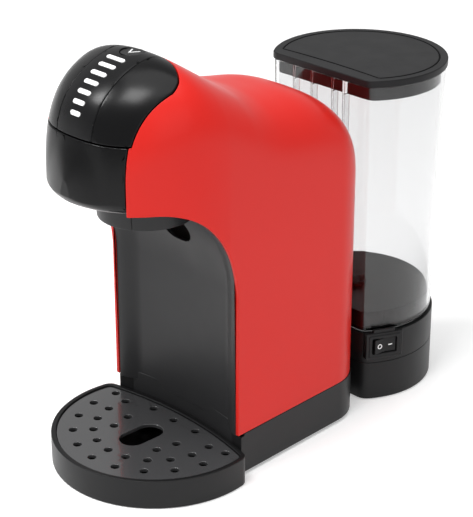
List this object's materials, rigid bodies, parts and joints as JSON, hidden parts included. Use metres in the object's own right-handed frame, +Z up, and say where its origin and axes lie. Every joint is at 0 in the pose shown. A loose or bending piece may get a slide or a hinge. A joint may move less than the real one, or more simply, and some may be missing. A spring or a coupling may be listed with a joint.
{
  "type": "pod coffee machine",
  "caption": "Upright pod coffee machine with a pull-out pod drawer in its domed head, a round drip tray in front and a lift-off clear water tank on a switched dock behind.",
  "frame": {"origin": "centre of the overall box at ground level", "axes": "+Z up, front of the machine towards -Y, tank towards +Y, power switch on the +X side"},
  "size_m": [0.151, 0.3398, 0.3018],
  "materials": {
    "red_shell": "gloss red",
    "gloss_black": "high gloss black",
    "satin_grey": "satin dark grey, fine texture",
    "satin_black": "satin black, fine texture",
    "grate_grey": "semi-gloss dark grey",
    "white_print": "white",
    "clear_tank": "clear, polished",
    "lid_grey": "satin dark grey",
    "holder_black": "matt black",
    "frame_grey": "matt light grey",
    "rubber_black": "matt",
    "seal_rubber": "matt",
    "hose_silicone": "translucent white silicone",
    "dome_silicone": "grey silicone",
    "cast_block": "as cast",
    "pump_steel": "zinc plated yoke and black coil",
    "bracket_steel": "brushed",
    "screw_steel": "zinc plated",
    "board_green": "green laminate with black and grey components",
    "meter_white": "white"
  },
  "bodies": {
    "machine": {"base_frame": "satin_black", "rubber_feet": "rubber_black", "body_shell": "red_shell", "column_cover": "satin_grey", "front_apron": "satin_black", "head_strip": "gloss_black", "head_cheek_left": "gloss_black", "head_cheek_right": "gloss_black", "display_bars": "white_print", "shroud_rear": "satin_grey", "inner_frame": "frame_grey", "pump": "pump_steel", "pump_bracket": "bracket_steel", "pump_mounts": "rubber_black", "thermoblock": "cast_block", "flow_meter": "meter_white", "control_board": "board_green", "brew_head": "holder_black", "feed_hose": "hose_silicone", "pump_hose": "hose_silicone", "hot_hose": "hose_silicone", "dock_lower": "satin_black", "dock_upper": "satin_black", "dock_inlet": "holder_black", "dock_bridge": "satin_black", "switch_housing": "satin_black", "cord_gland": "rubber_black", "base_screws": "screw_steel", "button_dome": "dome_silicone"},
    "pod_drawer": {"drawer_front": "gloss_black", "pod_holder": "holder_black", "spout_nozzle": "holder_black", "shroud_front": "satin_grey"},
    "tray": {"drip_tray": "satin_black"},
    "grate": {"drip_grate": "grate_grey"},
    "water_tank": {"tank_body": "clear_tank", "tank_floor": "satin_black", "tank_valve": "holder_black", "tank_seal": "seal_rubber"},
    "lid": {"tank_lid": "lid_grey"},
    "switch_rocker": {"rocker": "satin_black"},
    "start_button": {"power_button": "gloss_black", "button_icon": "white_print"}
  },
  "joints": [
    {"name": "pod_drawer_slide", "type": "slide", "parent": "machine", "child": "pod_drawer", "axis": [0, -1, 0], "range_m": [0, 0.055]},
    {"name": "drip_tray_slide", "type": "slide", "parent": "machine", "child": "tray", "axis": [0, -1, 0], "range_m": [0, 0.08]},
    {"name": "grate_lift", "type": "slide", "parent": "tray", "child": "grate", "axis": [0, 0, 1], "range_m": [0, 0.03]},
    {"name": "tank_lift", "type": "slide", "parent": "machine", "child": "water_tank", "axis": [0, 0, 1], "range_m": [0, 0.1]},
    {"name": "lid_lift", "type": "slide", "parent": "water_tank", "child": "lid", "axis": [0, 0, 1], "range_m": [0, 0.035]},
    {"name": "power_rocker", "type": "hinge", "parent": "machine", "child": "switch_rocker", "pos_m": [0.05574, 0.08021, 0.046], "axis": [0, 0, -1], "range_deg": [0, 18]},
    {"name": "start_button_press", "type": "slide", "parent": "machine", "child": "start_button", "axis": [0, 0, -1], "range_m": [0, 0.0015], "stiffness_N_per_m": 900, "springref_m": -0.0006, "deforming": ["button_dome"]}
  ]
}
